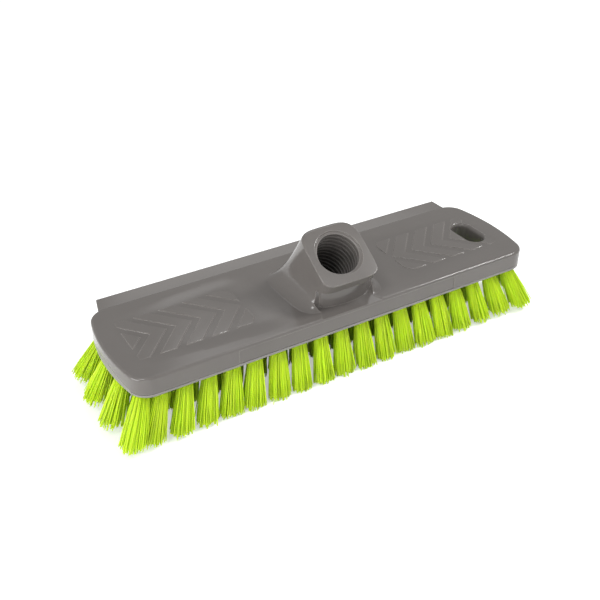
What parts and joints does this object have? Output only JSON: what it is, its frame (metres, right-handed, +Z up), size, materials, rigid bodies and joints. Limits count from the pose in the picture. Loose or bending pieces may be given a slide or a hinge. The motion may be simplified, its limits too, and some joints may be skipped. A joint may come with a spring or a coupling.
{
  "type": "floor scrub brush head",
  "caption": "Oblong floor scrub brush head with a tilted threaded handle socket, a scraper lip along one long edge, chevron panels, a hanging slot and splayed stiff bristle tufts.",
  "frame": {"origin": "on the floor under the middle of the bounding box, at the level of the bristle tips", "axes": "+X along the block towards the end with the hanging slot, +Y towards the scraper lip, +Z up, the handle socket leans towards -Y"},
  "size_m": [0.236, 0.0718, 0.0679],
  "materials": {
    "cover_plastic": "smooth moulded warm grey polypropylene, lightly glossy",
    "plate_plastic": "moulded paler grey polypropylene",
    "bristle_filament": "lime green translucent stiff filament",
    "anchor_wire": "bright flat staple wire"
  },
  "bodies": {
    "root": {"top_cover": "cover_plastic", "tuft_plate": "plate_plastic", "bristles_front": "bristle_filament", "bristles_front_inner": "bristle_filament", "bristles_back_inner": "bristle_filament", "bristles_back": "bristle_filament", "anchor_front_01": "anchor_wire", "anchor_front_02": "anchor_wire", "anchor_front_03": "anchor_wire", "anchor_front_04": "anchor_wire", "anchor_front_05": "anchor_wire", "anchor_front_06": "anchor_wire", "anchor_front_07": "anchor_wire", "anchor_front_08": "anchor_wire", "anchor_front_09": "anchor_wire", "anchor_front_10": "anchor_wire", "anchor_front_11": "anchor_wire", "anchor_front_12": "anchor_wire", "anchor_front_13": "anchor_wire", "anchor_front_14": "anchor_wire", "anchor_front_15": "anchor_wire", "anchor_front_16": "anchor_wire", "anchor_front_17": "anchor_wire", "anchor_front_18": "anchor_wire", "anchor_front_19": "anchor_wire", "anchor_back_01": "anchor_wire", "anchor_back_02": "anchor_wire", "anchor_back_03": "anchor_wire", "anchor_back_04": "anchor_wire", "anchor_back_05": "anchor_wire", "anchor_back_06": "anchor_wire", "anchor_back_07": "anchor_wire", "anchor_back_08": "anchor_wire", "anchor_back_09": "anchor_wire", "anchor_back_10": "anchor_wire", "anchor_back_11": "anchor_wire", "anchor_back_12": "anchor_wire", "anchor_back_13": "anchor_wire", "anchor_back_14": "anchor_wire", "anchor_back_15": "anchor_wire", "anchor_back_16": "anchor_wire", "anchor_back_17": "anchor_wire", "anchor_back_18": "anchor_wire", "anchor_back_19": "anchor_wire"}
  },
  "joints": []
}
